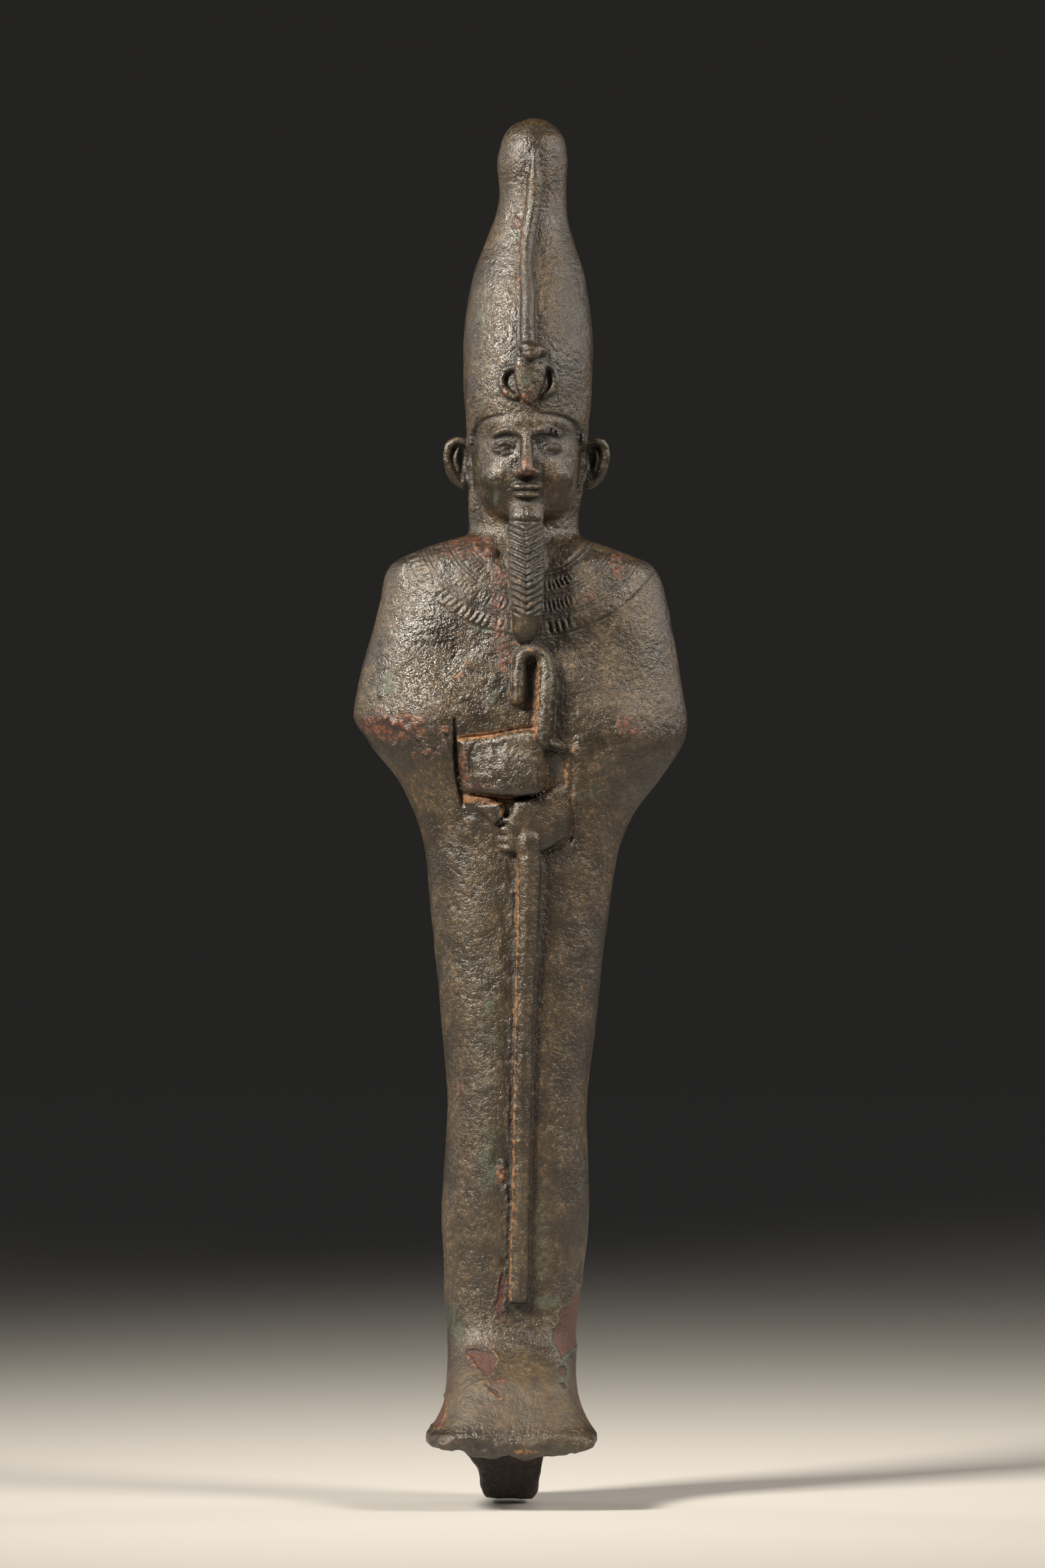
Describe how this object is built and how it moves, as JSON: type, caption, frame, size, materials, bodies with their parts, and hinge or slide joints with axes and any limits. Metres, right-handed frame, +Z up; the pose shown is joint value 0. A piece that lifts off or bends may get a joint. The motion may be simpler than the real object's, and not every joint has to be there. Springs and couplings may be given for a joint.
{
  "type": "osiris figure",
  "caption": "Slender cast bronze figure of a mummiform god with tall crown, plaited beard, collar, crook and staff, on a small foot plate with a tang below.",
  "frame": {"origin": "on the plane of the sole, where the middle of the tang leaves the foot plate", "axes": "+Z up along the figure, -Y out of its face, +X towards its left hand"},
  "size_m": [0.0479, 0.0306, 0.199],
  "materials": {
    "bronze": "dark brown-black patinated bronze, glossy on raised metal, with red-brown and ochre corrosion in the hollows"
  },
  "bodies": {
    "root": {"osiris_figure": "bronze"}
  },
  "joints": []
}
